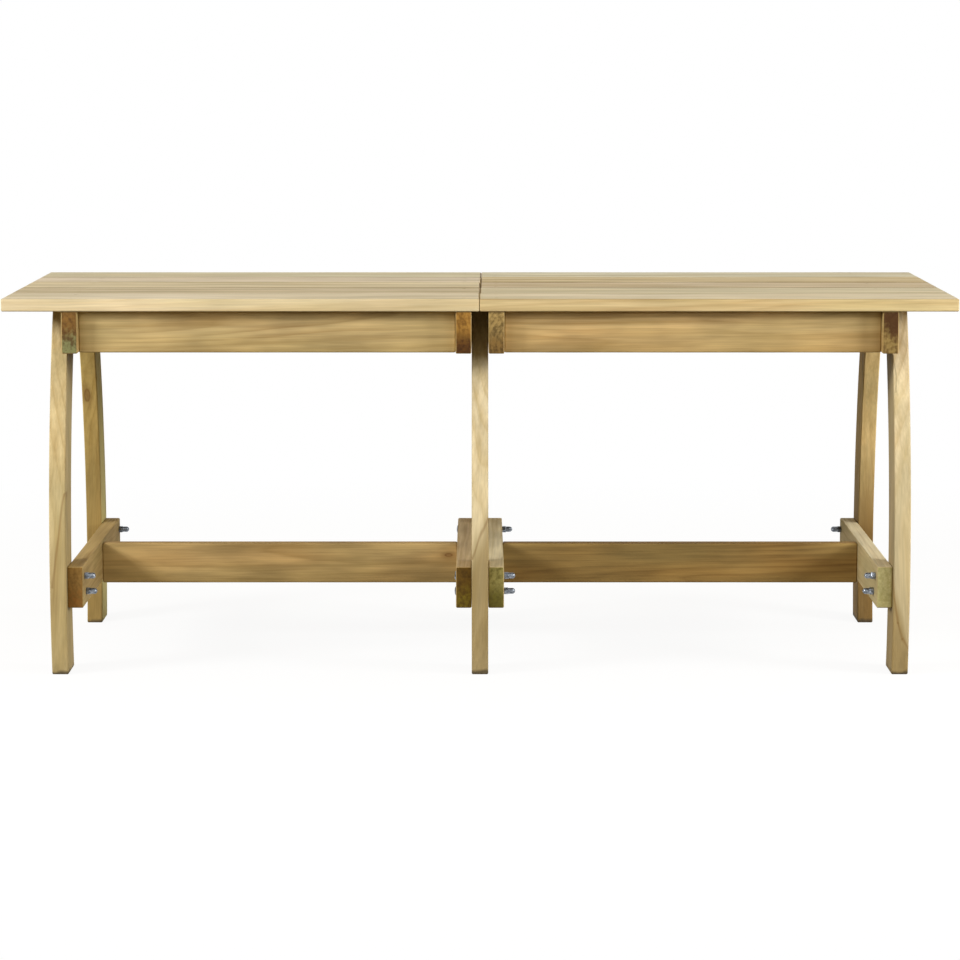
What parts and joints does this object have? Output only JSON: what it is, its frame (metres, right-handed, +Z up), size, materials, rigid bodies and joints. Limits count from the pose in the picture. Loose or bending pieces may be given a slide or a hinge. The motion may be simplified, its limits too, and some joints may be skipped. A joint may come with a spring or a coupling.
{
  "type": "garden table",
  "caption": "Long rectangular garden table of pressure-treated pine: plank top in two halves on bolted frames of bowed legs, with battens, aprons, stretchers and low rails.",
  "frame": {"origin": "on the floor, under the middle of the table top", "axes": "+X along the top to the right as seen from the front, +Y to the back, +Z up"},
  "size_m": [1.915, 0.76, 0.77],
  "materials": {
    "treated_pine": "planed, pressure-treated, bare",
    "zinc_plated_steel": "bright zinc plate"
  },
  "bodies": {
    "root": {"left_back_apron": "treated_pine", "left_back_leg": "treated_pine", "left_end_batten": "treated_pine", "left_end_stretcher": "treated_pine", "left_frame_bolts": "zinc_plated_steel", "left_frame_cap_nuts": "zinc_plated_steel", "left_front_apron": "treated_pine", "left_front_leg": "treated_pine", "left_middle_batten": "treated_pine", "left_middle_stretcher": "treated_pine", "left_plank_1": "treated_pine", "left_plank_2": "treated_pine", "left_plank_3": "treated_pine", "left_plank_4": "treated_pine", "left_plank_5": "treated_pine", "left_rail": "treated_pine", "middle_back_leg": "treated_pine", "middle_frame_bolts": "zinc_plated_steel", "middle_frame_cap_nuts": "zinc_plated_steel", "middle_front_leg": "treated_pine", "right_back_apron": "treated_pine", "right_back_leg": "treated_pine", "right_end_batten": "treated_pine", "right_end_stretcher": "treated_pine", "right_frame_bolts": "zinc_plated_steel", "right_frame_cap_nuts": "zinc_plated_steel", "right_front_apron": "treated_pine", "right_front_leg": "treated_pine", "right_middle_batten": "treated_pine", "right_middle_stretcher": "treated_pine", "right_plank_1": "treated_pine", "right_plank_2": "treated_pine", "right_plank_3": "treated_pine", "right_plank_4": "treated_pine", "right_plank_5": "treated_pine", "right_rail": "treated_pine"}
  },
  "joints": []
}
